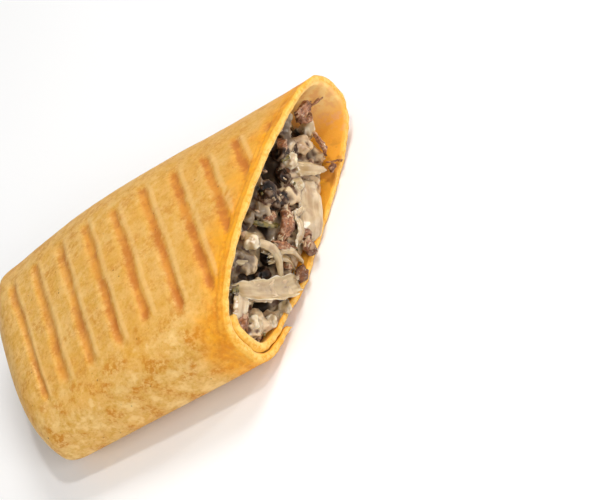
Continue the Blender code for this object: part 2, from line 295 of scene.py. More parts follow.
class Finish:
    """A material and the nodes that feed its Principled shader."""

    def __init__(self, name, **constants):
        self.material = bpy.data.materials.new(name)
        self.material.use_nodes = True
        self.tree = self.material.node_tree
        self.shader = self.tree.nodes["Principled BSDF"]
        for socket, value in constants.items():
            self.shader.inputs[socket.replace("_", " ")].default_value = value
        self.place = self.node("ShaderNodeTexCoord", output="Object")

    def connect(self, socket, value):
        if isinstance(value, Wire):
            self.tree.links.new(value.socket, socket)
        elif socket.type == "RGBA" and len(value) == 3:
            socket.default_value = (*value, 1)
        else:
            socket.default_value = value

    def node(self, kind, settings=None, sockets=None, output=0):
        made = self.tree.nodes.new(kind)
        for key, value in (settings or {}).items():
            setattr(made, key, value)
        for key, value in (sockets or {}).items():
            self.connect(made.inputs[key], value)
        return Wire(self, made.outputs[output])

    def math(self, operation, first, second):
        return self.node("ShaderNodeMath", {"operation": operation}, {0: first, 1: second})

    def noise(self, millimetres, detail=2.0, roughness=0.5, stretch=(1, 1, 1)):
        """A soft cloud pattern whose blotches are about this large."""
        place = self.node("ShaderNodeMapping", None, {"Vector": self.place, "Scale": stretch})
        return self.node(
            "ShaderNodeTexNoise", None,
            {"Vector": place, "Scale": 1 / (millimetres * MM), "Detail": detail,
             "Roughness": roughness}, "Fac")

    def cells(self, millimetres):
        return self.node("ShaderNodeTexVoronoi", None,
                         {"Vector": self.place, "Scale": 1 / (millimetres * MM)}, "Distance")

    def streaks(self, millimetres):
        """A noise drawn out along a strip, from the two places kept on its vertices."""
        place = self.node("ShaderNodeCombineXYZ", None,
                          {"X": self.attribute("across"),
                           "Y": self.attribute("lengthwise") * (1 / STREAK_STRETCH)})
        return self.node("ShaderNodeTexNoise", None,
                         {"Vector": place, "Scale": 1 / millimetres, "Detail": 3.0}, "Fac")

    def attribute(self, name):
        return self.node("ShaderNodeAttribute", {"attribute_name": name}, output="Fac")

    def mix(self, first, second, share):
        return self.node("ShaderNodeMix", {"data_type": "RGBA"},
                         {0: share, 6: first, 7: second}, 2)

    def coats(self, color, *layers):
        """Lays more colours over a first one, each with the share that it covers."""
        for over, share in layers:
            color = self.mix(color, over, share)
        return color

    def dot(self, direction, origin=(0, 0, 0)):
        """How far a place lies along a direction from an origin, in millimetres."""
        off = self.node("ShaderNodeVectorMath", {"operation": "SUBTRACT"},
                        {0: self.place, 1: origin})
        scaled = [part / MM for part in direction]
        return self.node("ShaderNodeVectorMath", {"operation": "DOT_PRODUCT"},
                         {0: off, 1: scaled}, "Value")

    def feed(self, **sockets):
        for socket, value in sockets.items():
            self.connect(self.shader.inputs[socket.replace("_", " ")], value)

    def bump(self, height_wire, millimetres, strength):
        made = self.node("ShaderNodeBump", None,
                         {"Height": height_wire, "Distance": millimetres * MM,
                          "Strength": strength})
        self.connect(self.shader.inputs["Normal"], made)


def tone(red, green, blue):
    """A colour as it looks on a screen, 0 to 255, turned into the shader's linear values."""
    return tuple(((part / 255 + 0.055) / 1.055) ** 2.4 for part in (red, green, blue))


floor_finish = Finish("table", Roughness=0.6)
floor_shade = floor_finish.noise(400, 1.0).step(0.2, 0.8)
floor_finish.feed(
    Base_Color=floor_finish.mix((0.97, 0.97, 0.97), (0.99, 0.99, 0.99), floor_shade))
floor.data.materials.append(floor_finish.material)
print("shader helpers ready")

# %% [markdown]
# ## Building a skin from a wrapped grid
# A rolled sheet, a strip of onion and the heap's face are all a flat net that is wrapped
# round a form. So one helper makes a grid, moves each of its vertices to the place that a
# formula gives for its share along and across, and welds the seams that then touch.

# %% Wrapped grid
def float_layer(bm, name):
    """The layer that holds a number of this name on each vertex."""
    return bm.verts.layers.float.get(name) or bm.verts.layers.float.new(name)


def wrapped_grid(bm, rows, columns, place, marks=()):
    """Adds a grid to bm, with its vertices where place(row share, column share) says.
    Where marks are named, place gives a value for each of them after the point."""
    layers = [float_layer(bm, name) for name in marks]
    made = bmesh.ops.create_grid(bm, x_segments=rows, y_segments=columns, size=0.5)
    for vert in made["verts"]:
        vert.co, *values = place(vert.co.x + 0.5, vert.co.y + 0.5)
        for layer, value in zip(layers, values):
            vert[layer] = value
    return made["verts"]


def keep(name, bm, finish, replaced, weld=0.02):
    """Makes a finished piece of a bmesh, riding on the food's one body."""
    bmesh.ops.remove_doubles(bm, verts=bm.verts[:], dist=weld * MM)
    bmesh.ops.dissolve_degenerate(bm, edges=bm.edges[:], dist=0.001 * MM)
    bmesh.ops.recalc_face_normals(bm, faces=bm.faces[:])
    for face in bm.faces:
        face.smooth = True
    data = bpy.data.meshes.new(name)
    bm.to_mesh(data)
    bm.free()
    piece = add_object(name, data)
    data.materials.append(finish.material)
    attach(piece, "root")
    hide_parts(*replaced)
    triangles = sum(len(face.vertices) - 2 for face in data.polygons)
    print(f"{name}: {triangles} triangles")
    return piece


def noise_at(point, millimetres, seed=0.0):
    """Smooth noise from -1 to 1, with bumps of about this size."""
    return noise.noise(point / (millimetres * MM) + Vector((seed, -seed, 2 * seed)))


# %% [markdown]
# ## The rolled sheet
# The sheet starts inside the roll at the upper short side, runs under the filling as an
# inner layer, comes down to the outside where its other end stops on the underside, and
# goes once round. That leaves two layers round the blunt corner with a thin gap between,
# as the cut shows. The grid's rows go along the outer face to the cut, across the sheet's
# cut edge, and back along the inner face, so the sheet is one closed skin with a thickness.

# %% Sheet: the way round and along
TURN_START = 150
TURN_INNER_END = 240
TURN_OUTSIDE = 264
TURN_END = 597
TUCK_LENGTH = 2.6 * MM
OUTER_ROWS = 180
RIM_ROWS = 26
RIM_SPAN = 9 * MM
EDGE_ROWS = 5
INNER_ROWS = 50
SHEET_ROWS = OUTER_ROWS + RIM_ROWS + EDGE_ROWS + INNER_ROWS
SHEET_COLUMNS = 250
EDGE_TAPER = 3.0
TUCK_BULGE = 1.6 * MM
RIDGE_OFF = 2.7 * MM
RIDGE_HALF_WIDTH = 1.5 * MM
RIDGE_HEIGHT = 0.09 * MM


def layer_inset(turn):
    """How far inside the skin this turn of the sheet's outer face lies."""
    inner = 1 - ease((turn - TURN_INNER_END) / (TURN_OUTSIDE - TURN_INNER_END))
    return (SHEET + LAYER_GAP) * inner


def groove_near(station, y):
    """How deep in a groove a place is, and how far up the ridge at a groove's side."""
    wobble = 0.50 * MM * noise.noise(Vector((station / (9 * MM), y / (8 * MM), 1)))
    broad = 0.95 + 0.34 * noise.noise(Vector((station / (7 * MM), y / (6 * MM), 5)))
    place = (station + wobble - GROOVE_FIRST) / GROOVE_PITCH
    nearest = min(max(round(place), 0), GROOVE_COUNT - 1)
    off = (place - nearest) * GROOVE_PITCH
    deep = max(1 - abs(off) / (GROOVE_HALF_WIDTH * broad), 0)
    ridge = max(1 - abs(off - RIDGE_OFF) / RIDGE_HALF_WIDTH, 0)
    far_side = max(1 - abs(off + RIDGE_OFF) / RIDGE_HALF_WIDTH, 0)
    return ease(deep), ease(ridge) + 0.35 * ease(far_side)


def groove_fade(y, station):
    """1 where the grill's ribs pressed, 0 past the ends of the grooves."""
    drift = 2.5 * MM * noise.noise(Vector((station / (8 * MM), 7, 3)))
    fade_in = ease((GROOVE_TOP_Y + drift + GROOVE_FADE - y) / GROOVE_FADE)
    return fade_in * ease((y + drift - GROOVE_LOW_Y + GROOVE_FADE) / GROOVE_FADE)


# %% Sheet: its rim and its net
FROM_CUT_SPAN = 60
BEAD_AT = 1.2
VALLEY_AT = 3.4
RIM_ROLL = 2.0
RAGGED = 0.42
FRAYED = 0.20
EDGE_ROUNDING = 0.45
DENT = 0.30
SMALL_DENT = 0.12
FINE_DENT = 0.05


def rim_swell(turn, from_cut, depth):
    """How far the sheet bulges out near its cut edge, in metres: a soft bead, a valley
    behind it and fine creases that run beside the edge."""
    way = Vector((turn / 9, 0, 4))
    shift = from_cut + 1.1 * noise.noise(way * 1.3)
    bead = (0.08 + 0.32 * noise.noise(way)) * math.exp(-(shift - BEAD_AT) ** 2)
    valley = (0.05 + 0.26 * noise.noise(way * 1.7)) * math.exp(-(shift - VALLEY_AT) ** 2)
    crease = 0.08 * math.sin(shift * 3.6 + 4 * noise.noise(way * 0.7))
    crease *= ease((8 - from_cut) / 6)
    return (bead - valley + crease) * (1 - depth) * MM


def sheet_point(station, turn, depth, from_cut):
    """A point of the sheet, where depth 0 is its outer face and 1 its inner face, and
    how deep in a groove and how far up a ridge it is."""
    angle = math.radians(turn)
    tuck = ease(-station / TUCK_LENGTH)
    free_edge = min(turn - TURN_START, TURN_END - turn) / EDGE_TAPER
    thickness = SHEET * min(max(free_edge, 0), 1) ** 0.5 * (1 - tuck)
    pressed = NOSE_PRESSED * (1 - 0.9 * tuck)
    inset = layer_inset(turn) + depth * thickness
    if from_cut < RIM_SPAN / MM:
        outermost = 1 - layer_inset(turn) / (SHEET + LAYER_GAP)
        inset -= rim_swell(turn, from_cut, depth) * outermost
    point = skin_point(max(station, 0), angle, inset, pressed)
    point.x += TUCK_BULGE * math.sin(math.pi * 0.9 * tuck)
    outside = 1 - depth if turn > TURN_OUTSIDE - 6 else 0
    lift = math.sin(angle)
    groove, ridge = groove_near(station, point.y)
    if lift > 0:
        fade = groove_fade(point.y, station) * outside * ease((from_cut - 2) / 3)
        groove, ridge = groove * fade, ridge * fade
        point.z += RIDGE_HEIGHT * ridge - GROOVE_DEPTH * groove
    elif point.z < 0.3 * MM:
        fade = ease((UNDER_GROOVE_Y + GROOVE_FADE - abs(point.y)) / GROOVE_FADE) * outside
        groove, ridge = groove * fade, 0
        point.z += UNDER_GROOVE_DEPTH * groove
    else:
        groove, ridge = 0, 0
    if lift > -0.2:
        swell = ease(station / NOSE_LENGTH) * ease(lift + 0.2)
        dent = DENT * noise_at(point, 14) + SMALL_DENT * noise_at(point, 5, 3)
        point.z += dent * MM * swell
        point.z += FINE_DENT * noise_at(point, 2.2, 8) * MM * swell
    return point, groove, ridge


def sheet_place(row_share, column_share):
    turn = TURN_START + (TURN_END - TURN_START) * column_share
    row = round(row_share * SHEET_ROWS)
    rim_end = OUTER_ROWS + RIM_ROWS
    depth = min(max((row - rim_end) / EDGE_ROWS, 0), 1)
    key = round(column_share * SHEET_COLUMNS), round(depth * EDGE_ROWS)
    if key not in cut_stations:
        inset = layer_inset(turn) + depth * SHEET
        cut_stations[key] = cut_station(math.radians(turn), inset)
    last = cut_stations[key]
    if row <= OUTER_ROWS:
        station = -TUCK_LENGTH + (last - RIM_SPAN + TUCK_LENGTH) * row / OUTER_ROWS
    elif row <= rim_end:
        station = last - RIM_SPAN * (1 - (row - OUTER_ROWS) / RIM_ROWS)
    else:
        back = max((row - rim_end - EDGE_ROWS) / INNER_ROWS, 0) ** 1.5
        station = last - (last + TUCK_LENGTH) * back
    from_cut = (last - station) / MM
    point, groove, ridge = sheet_point(station, turn, depth, from_cut)
    if from_cut < RIM_ROLL:
        roll = 1 - from_cut / RIM_ROLL
        ragged = RAGGED * noise_at(point, 5, 5) + FRAYED * noise_at(point, 1.4, 9)
        rounded = EDGE_ROUNDING * (2 * depth - 1) ** 2 * roll ** 4
        point += OUT * (ragged * roll - rounded) * MM
        crust = 0.09 * noise_at(point, 0.9, 6) + 0.22 * noise_at(point, 2.4, 2)
        point += (OUT + UP * (1 - 2 * depth) * math.sin(math.radians(turn))) * crust * roll * MM
    point.z = max(point.z, 0)
    layer = depth if from_cut <= 0 or depth in (0, 1) else 0.5
    return point, groove, ridge, from_cut / FROM_CUT_SPAN, layer


cut_stations = {}
sheet = bmesh.new()
wrapped_grid(sheet, SHEET_ROWS, SHEET_COLUMNS, sheet_place,
             ("groove", "ridge", "from_cut", "layer"))
print("sheet vertices before welding:", len(sheet.verts))

# %% [markdown]
# ## The toasted finish
# The tortilla is golden with a fine grain, browner in the grooves where the grill touched
# it, and the ridges beside them are painted paler as a painted highlight. Near the cut and
# the blunt corner oil has soaked in, so it is a deeper orange, and the short side has
# blotches where it blistered. A painted shade darkens the top towards the cut to even out
# the light there, and a thin painted shade line lies in the valley behind the rim. The
# masks come from values kept on the mesh, so they follow the sheet exactly.

# %% Sheet: patterns
tortilla = Finish("toasted tortilla", Roughness=0.52, Specular_IOR_Level=0.25,
                  Subsurface_Weight=0.12, Subsurface_Scale=0.0015,
                  Subsurface_Radius=(1.0, 0.5, 0.2))
in_groove = tortilla.attribute("groove")
on_ridge = tortilla.attribute("ridge")
from_cut = tortilla.attribute("from_cut") * FROM_CUT_SPAN
layer = tortilla.attribute("layer")
inner_face = layer.step(0.6, 0.95)

grain = tortilla.noise(0.8, 4, 0.7)
flakes = tortilla.noise(1.25, 5, 0.7)
mottle = tortilla.noise(3.0, 5, 0.68)
patches = tortilla.noise(12, 3, 0.55)
blotches = tortilla.noise(5.5, 5, 0.62)
specks = tortilla.cells(3.4)
flank = tortilla.dot((0, 1, 0)).step(-22, -33)
print("patterns in the tortilla:", len(tortilla.tree.nodes), "nodes so far")

# %% Sheet: toasted skin
brown_spots = blotches.step(0.48, 0.62) * flakes.step(0.40, 0.58)
skin_color = tortilla.coats(
    tone(232, 188, 112),
    (tone(220, 166, 74), mottle.step(0.36, 0.64)),
    (tone(202, 148, 50), flakes.step(0.52, 0.66) * (0.25 + 0.45 * mottle.step(0.45, 0.6))),
    (tone(241, 200, 122), flakes.step(0.46, 0.34) * 0.35),
    (tone(196, 138, 46), grain.step(0.54, 0.68) * 0.45),
    (tone(226, 158, 40), patches.step(0.50, 0.34) * 0.35),
    (tone(204, 132, 36), brown_spots * flank),
    (tone(200, 132, 46), brown_spots * (1 - flank) * 0.6),
    (tone(250, 214, 144), blotches.step(0.48, 0.36) * flank * 0.6),
    # painted shade: away from the short side the skin gets a deeper tone towards the cut,
    # evening out the brighter light there
    (tone(212, 150, 58), from_cut.step(90, 20) * (1 - flank) * 0.3))
print("toasted skin painted")

# %% Sheet: oil and grooves
soaked = (from_cut + patches * 26).step(30, 14)
oily = tortilla.mix(tone(240, 163, 20), tone(224, 140, 18),
                    (flakes * 0.4 + blotches * 0.6).step(0.42, 0.62))
past_line = from_cut + flakes * 1.6 - 4.1
rim_crease_shade = past_line.step(1.3, 0.2) * past_line.step(-1.3, -0.2)
groove_brown = tortilla.mix(tone(216, 142, 52), tone(194, 114, 40), blotches.step(0.40, 0.60))
groove_share = (in_groove + flakes * 0.9 + mottle * 0.4 - 0.66).step(0.02, 0.85)
near_cut = from_cut.step(80, 15)
outer_color = tortilla.coats(
    skin_color,
    (oily, soaked * (0.66 + 0.28 * mottle.step(0.64, 0.36))),
    # painted shade: a darker orange line in the valley behind the rim's bead
    (tone(206, 120, 16), rim_crease_shade * mottle.step(0.44, 0.58) * 0.45),
    (groove_brown, groove_share * (0.58 + 0.36 * near_cut)),
    # painted highlight: the ridges beside the grooves are painted paler
    (tone(246, 206, 138), on_ridge.step(0.2, 0.9) * 0.35),
    (tone(130, 84, 34), specks.step(0.10, 0.04) * flakes.step(0.48, 0.6)))
print("oil and grooves painted")

# %% Sheet: inner face and cut edge
juicy = tortilla.dot((0, 0, 1)).step(12, 5)
past_corner = tortilla.dot(tuple(ALONG), tuple(CUT_CORNER))
stain = past_corner.step(56, 62) * past_corner.step(76, 68) * blotches.step(0.50, 0.62)
pinkish = past_corner.step(72, 80) * mottle.step(0.45, 0.6)
inner_color = tortilla.coats(
    tone(254, 212, 140),
    (tone(252, 196, 96), mottle.step(0.4, 0.6)),
    (tone(244, 166, 40), juicy * 0.9),
    (tone(168, 96, 36), stain * 0.6),
    (tone(236, 176, 140), pinkish * 0.45))
edge_color = tortilla.mix(tone(238, 188, 84), tone(228, 166, 54), flakes.step(0.36, 0.64))
crumb = layer.step(0.08, 0.35) * layer.step(0.95, 0.70) * from_cut.step(0.2, 0.02)
tortilla.feed(Base_Color=tortilla.coats(
    outer_color,
    (edge_color, (from_cut + flakes).step(1.7, 0.5) * 0.85),
    (tone(250, 208, 128), crumb * flakes.step(0.62, 0.42) * 0.55),
    (inner_color, inner_face)))
tortilla.bump(grain * 0.5 + flakes * 0.6 + blotches * flank * 1.2, 0.35, 0.5)

# %% Sheet: the piece
keep("tortilla_sheet", sheet, tortilla, ["tortilla"])

# %% [markdown]
# ## The filling
# The filling is a soft heap: minced beef and sauce that stick together, with strips of
# onion, cabbage leaf and lumps of meat and mushroom that stand out of it where the knife
# went through. The deep part never shows, so it is one plain body. The front few
# millimetres are lumps, which a voxel remesh joins at the end.

# %% Filling: its room in the roll
FACE_RECESS = 4.0
HOLLOW_START = 69.0
HOLLOW_SLOPE = math.radians(38)
HEAP_GAP = 0.45 * MM
HEAP_COLUMNS = 150
BACK_OF_FACE = 9.0
DOUBLE_FROM = 145
DOUBLE_TO = 262
DOUBLE_EASES = 15


def wall(turn):
    """How thick the sheet's layers are at this turn, in metres."""
    begun = ease((turn - DOUBLE_FROM) / DOUBLE_EASES)
    return SHEET * (1 + begun * ease((DOUBLE_TO - turn) / DOUBLE_EASES))


def recess(along):
    """How far behind the cut the filling's face lies, in millimetres."""
    return FACE_RECESS + max(along - HOLLOW_START, 0) / math.tan(HOLLOW_SLOPE)


def heap_rim(turn, behind):
    """The filling's outline on its face, or this many millimetres behind that."""
    angle = math.radians(turn)
    inset = wall(turn) + HEAP_GAP
    station = SHORT_SIDE
    for _ in range(24):
        off = skin_point(station, angle, inset) - CUT_CORNER
        depth = -(recess(off.dot(ALONG) / MM) + behind) * MM
        station += (depth - off.dot(OUT)) / OUT.x
    return station, skin_point(station, angle, inset)


def cut_place(point):
    """A point as millimetres along the cut, up and out."""
    off = (point - CUT_CORNER) / MM
    return off.dot(ALONG), off.z, off.dot(OUT)


heap_rims = {}
for column in range(HEAP_COLUMNS + 1):
    turn = 360 * column / HEAP_COLUMNS
    heap_rims[column] = heap_rim(turn, 0), heap_rim(turn, BACK_OF_FACE)
print("filling's face reaches", [round(part, 1) for part in cut_place(heap_rims[0][0][1])])

# %% Filling: the hidden core
CORE_START = 12 * MM
CORE_ROWS = 60
HEAP_CENTRE = (38.0, 13.0)
CORE_END_ROWS = 6
CORE_TIP_AHEAD = 2 * MM
CORE_TIP_UP = 8 * MM


def core_place(row_share, column_share):
    column = round(column_share * HEAP_COLUMNS)
    turn = 360 * column_share
    last, back_point = heap_rims[column][1]
    row = row_share * CORE_ROWS
    inset = wall(turn) + HEAP_GAP
    if row < CORE_END_ROWS:
        rim = skin_point(CORE_START, math.radians(turn), inset)
        middle = Vector((rim.x + CORE_TIP_AHEAD, 0, CORE_TIP_UP))
        return [middle.lerp(rim, row / CORE_END_ROWS)]
    if row > CORE_ROWS - CORE_END_ROWS:
        middle = on_cut(*HEAP_CENTRE, -FACE_RECESS - BACK_OF_FACE)
        return [back_point.lerp(middle, (row - CORE_ROWS + CORE_END_ROWS) / CORE_END_ROWS)]
    share = (row - CORE_END_ROWS) / (CORE_ROWS - 2 * CORE_END_ROWS)
    station = CORE_START + (last - CORE_START) * share
    return [skin_point(station, math.radians(turn), inset)]


core = bmesh.new()
wrapped_grid(core, CORE_ROWS, HEAP_COLUMNS, core_place)
print("core:", len(core.faces), "faces")

# %% [markdown]
# ## Moist finishes
# Sauce coats everything, so the finishes share one trick. A value kept on each vertex says
# whether it stands proud or lies in a hollow, and another how far behind the face it lies.
# Proud places get a painted highlight, which on the heap is partly pale cream too, while
# hollows and places deep behind the face get painted shade.

# %% Filling: which places stand proud
PROUD_SPAN = 0.45
DEEP_SPAN = 8.0
IN_FRONT = 4.0
OVER_RIM = 0.6
WIDER_THAN_TALL = 2.4


def mark_proud(bm, rounds):
    """Keeps on each vertex 0.5 where the skin is flat, more on ridges, less in hollows."""
    layer = float_layer(bm, "proud")
    bm.normal_update()
    for vert in bm.verts:
        edges = [edge.other_vert(vert).co - vert.co for edge in vert.link_edges]
        lean = sum(edge.dot(vert.normal) / max(edge.length, 1e-9) for edge in edges)
        vert[layer] = -lean / max(len(edges), 1)
    for _ in range(rounds):
        smooth = [(vert[layer] + sum(edge.other_vert(vert)[layer] for edge in vert.link_edges))
                  / (1 + len(vert.link_edges)) for vert in bm.verts]
        for vert, value in zip(bm.verts, smooth):
            vert[layer] = value
    for vert in bm.verts:
        vert[layer] = min(max(0.5 + vert[layer] / PROUD_SPAN, 0), 1)


def mark_deep(bm):
    """Keeps on each vertex how far behind the face of the filling it lies."""
    layer = float_layer(bm, "deep")
    for vert in bm.verts:
        along, _, out = cut_place(vert.co)
        vert[layer] = min(max((-out - recess(along) + IN_FRONT) / DEEP_SPAN, 0), 1)


def marks_on(finish):
    """How proud a place stands, and how many millimetres behind the face it lies."""
    return finish.attribute("proud"), finish.attribute("deep") * DEEP_SPAN - IN_FRONT


def inside_roll(point):
    """Pulls a point of the filling that would poke into the sheet back to its inner face."""
    off = point.y - GROOVE_MIDDLE_Y
    station = point.x + BOX_CENTRE_X + (GROOVE_SLANT + GROOVE_BEND * off) * off
    tall = height(station, point.y)
    widest = WIDEST_AT * tall
    rise = point.z - widest
    turn = math.degrees(math.atan2(rise * WIDER_THAN_TALL, point.y)) % 360
    thick = wall(turn) + 0.2 * MM
    room = (tall - widest if rise > 0 else widest) - thick
    bulge = TOP_SQUARENESS if rise > 0 else BOTTOM_SQUARENESS
    reach = (abs(point.y) / (half_width(station) - thick)) ** SIDE_SQUARENESS
    reach += (abs(rise) / room) ** bulge
    if reach <= 1:
        return point
    share = reach ** (-1 / TOP_SQUARENESS)
    return Vector((point.x, point.y * share, widest + rise * share))


def settle(bm):
    """Keeps the pieces inside the sheet, but lets them hang over its rim."""
    for vert in bm.verts:
        out = cut_place(vert.co)[2]
        if out < OVER_RIM:
            vert.co = vert.co.lerp(inside_roll(vert.co), ease((OVER_RIM - out) / OVER_RIM))


print("a wall is", round(wall(0) / MM, 1), "mm thick on the long side")

# %% Filling: creamy finish
cream = Finish("creamy sauce", Roughness=0.36, Specular_IOR_Level=0.3, Coat_Roughness=0.06,
               Coat_Tint=(1.0, 0.94, 0.84, 1), Subsurface_Weight=0.25, Subsurface_Scale=0.0015,
               Subsurface_Radius=(1.0, 0.7, 0.5))
proud, behind = marks_on(cream)
meaty = cream.noise(5.0, 3, 0.5)
curds = cream.noise(1.6, 3, 0.55)
ripples = cream.noise(0.8, 3, 0.6)
shade = cream.dot((0, 0, 1)) + meaty * 14
cream.feed(Coat_Weight=proud.step(0.36, 0.60), Base_Color=cream.coats(
    tone(98, 64, 40),
    # pale cream where the heap stands proud and brown in its hollows: partly the sauce's own
    # colours, partly painted highlight and painted shade
    (tone(214, 191, 158), (proud * 1.2 + curds * 0.35 + meaty * 0.5).step(0.78, 1.10)),
    (tone(136, 88, 56), meaty.step(0.50, 0.68) * 0.5),
    # painted highlight on the most proud places
    (tone(230, 212, 184), proud.step(0.66, 0.95) * 0.4),
    # painted shade: near black in the recesses behind the face
    (tone(34, 21, 12), (behind + curds * 1.5).step(1.0, 3.0) * 0.95),
    # painted shadow of the rim over the top of the filling
    (tone(48, 30, 20), shade.step(25, 30) * 0.75)))
cream.bump(curds * 0.7 + ripples * 0.5, 0.3, 0.45)
keep("filling_core", core, cream, ["filling"])

# %% [markdown]
# The face's body has a back, a band along the wall and a front with hollows where the
# photograph shows dark gaps. Lumps of mince are set on it before the remesh.

# %% Filling: the lumpy face
FACE_ROWS = 70
BACK_ROWS = 6
BAND_ROWS = 14
FACE_SINKS = 0.6
CORNER_FULL = 1.9
VOIDS = [
    ((68, 15), (5, 5), 5.0), ((50.5, 20.5), (4.8, 3.8), 6.5), ((23.5, 15), (4, 4.5), 4.0),
    ((17, 8.5), (3.5, 3.6), 5.0), ((38, 17), (3, 3), 3.0), ((61, 20), (3, 3), 3.0),
    ((55, 22.5), (4, 4), 4.5), ((31, 13), (2.5, 3), 3.0), ((46, 12), (2.5, 2.5), 2.5),
    ((62, 5), (3, 3), 2.5),
]


def face_depth(along, up):
    """How far behind the cut the heap's front lies here, with its hollows and lumps."""
    depth = recess(along) + FACE_SINKS
    for (void_along, void_up), (long, tall), deep in VOIDS:
        away = ((along - void_along) / long) ** 2 + ((up - void_up) / tall) ** 2
        depth += deep * math.exp(-away * 1.6)
    depth -= CORNER_FULL * ease((10 - up) / 7) * ease((66 - along) / 8)
    place = Vector((along, up, 4)) * MM
    return depth - 1.1 * noise_at(place, 4.5, 2) - 0.6 * noise_at(place, 2.0, 4)


def face_place(row_share, column_share):
    column = round(column_share * HEAP_COLUMNS)
    (face_station, rim), (back_station, back_rim) = heap_rims[column]
    row = row_share * FACE_ROWS
    if row < BACK_ROWS:
        middle = on_cut(*HEAP_CENTRE, -FACE_RECESS - BACK_OF_FACE)
        return [middle.lerp(back_rim, row / BACK_ROWS)]
    row -= BACK_ROWS
    if row < BAND_ROWS:
        station = back_station + (face_station - back_station) * row / BAND_ROWS
        turn = 360 * column_share
        return [skin_point(station, math.radians(turn), wall(turn) + HEAP_GAP)]
    share = (row - BAND_ROWS) / (FACE_ROWS - BACK_ROWS - BAND_ROWS)
    rim_along, rim_up, _ = cut_place(rim)
    along = rim_along + (HEAP_CENTRE[0] - rim_along) * share
    up = rim_up + (HEAP_CENTRE[1] - rim_up) * share
    return [on_cut(along, up, -face_depth(along, up))]


FACET_AT = 0.33
FACET_CUT = 0.88


def add_chunk(bm, place, size, roughness, level=4, facets=0, seed=0, folds=0.0):
    """Adds an uneven lump: its place in the cut (along, up, out), and its size the same
    way. Facets are flat sides, as a knife leaves, and folds are wrinkles."""
    made = bmesh.ops.create_icosphere(bm, subdivisions=level, radius=0.5)
    shift = Vector((place[0], place[1], size[0] + seed))
    draw = random.Random(place[0] * 7 + place[1] + seed)
    ways = [Vector([draw.gauss(0, 1) for _ in range(3)]).normalized() for _ in range(facets)]
    axes = Matrix((ALONG * size[0] * MM, UP * size[1] * MM, OUT * size[2] * MM)).transposed()
    centre = on_cut(*place)
    for vert in made["verts"]:
        co = vert.co.copy()
        co *= 1 + roughness * noise.noise(co * 2.3 + shift)
        for way in ways:
            over = co.dot(way) - FACET_AT
            if over > 0:
                co -= way * over * FACET_CUT
        co *= 1 + 0.25 * roughness * noise.noise(co * 8 + shift)
        if folds:
            co *= 1 - folds * abs(noise.noise(co * 4.5 + shift)) ** 0.6
        vert.co = centre + axes @ co
    return made["verts"]


MINCE = [
    ((40, 21.5, -3.4), (6.0, 5.5, 4.6)), ((23.5, 21.5, -3.4), (7.0, 6.0, 5.0)),
    ((11.5, 10.5, -3.0), (7.0, 6.0, 5.0)), ((63, 20, -4.4), (4.6, 4.6, 4.4)),
    ((65.2, 14.2, -3.8), (6.0, 5.6, 4.4)), ((50, 13.5, -3.2), (5.4, 5.6, 4.6)),
    ((20, 14, -4.2), (5.0, 5.0, 4.6)), ((35, 26, -3.6), (6.0, 4.0, 4.4)),
    ((15, 6, -2.8), (6.0, 4.6, 5.0)), ((54, 8, -3.6), (6.0, 5.0, 4.4)),
    ((27, 5.5, -3.0), (5.0, 4.0, 4.4)), ((71.5, 12.2, -7.0), (5.4, 5.6, 4.8)),
    ((20, 4.2, -2.4), (5.0, 3.4, 4.0)), ((7.5, 12.5, -2.6), (5.0, 5.0, 4.4)),
]
CRUMB_COUNT = 90
GAP_FROM = 2.6
HEAP_WELD = 0.02

heap = bmesh.new()
wrapped_grid(heap, FACE_ROWS, HEAP_COLUMNS, face_place)
bmesh.ops.remove_doubles(heap, verts=heap.verts[:], dist=HEAP_WELD * MM)
for place, size in MINCE:
    add_chunk(heap, place, size, 0.75, folds=0.07)
draw = random.Random(5)
for number in range(CRUMB_COUNT):
    along, up = draw.uniform(4, 70), draw.uniform(4, 27)
    size = [draw.uniform(1.6, 4.6) for _ in range(3)]
    depth = face_depth(along, up)
    if depth < recess(along) + GAP_FROM:
        place = (along, up, draw.uniform(-0.6, 0.8) - depth)
        add_chunk(heap, place, size, 0.9, 3, seed=number)
print("heap before melting:", len(heap.faces), "faces")

# %% [markdown]
# ## Strips in the cut
# Onion, cabbage and meat show as flat strips that the knife cut to length. Each is a grid
# wrapped round a flat oval that follows a bent path, with ribs, ragged ends and a wave.
# Places in the cut are millimetres along it, up, and out of it.

# %% Strips: helper
STRIP_ROWS = 56
STRIP_COLUMNS = 36


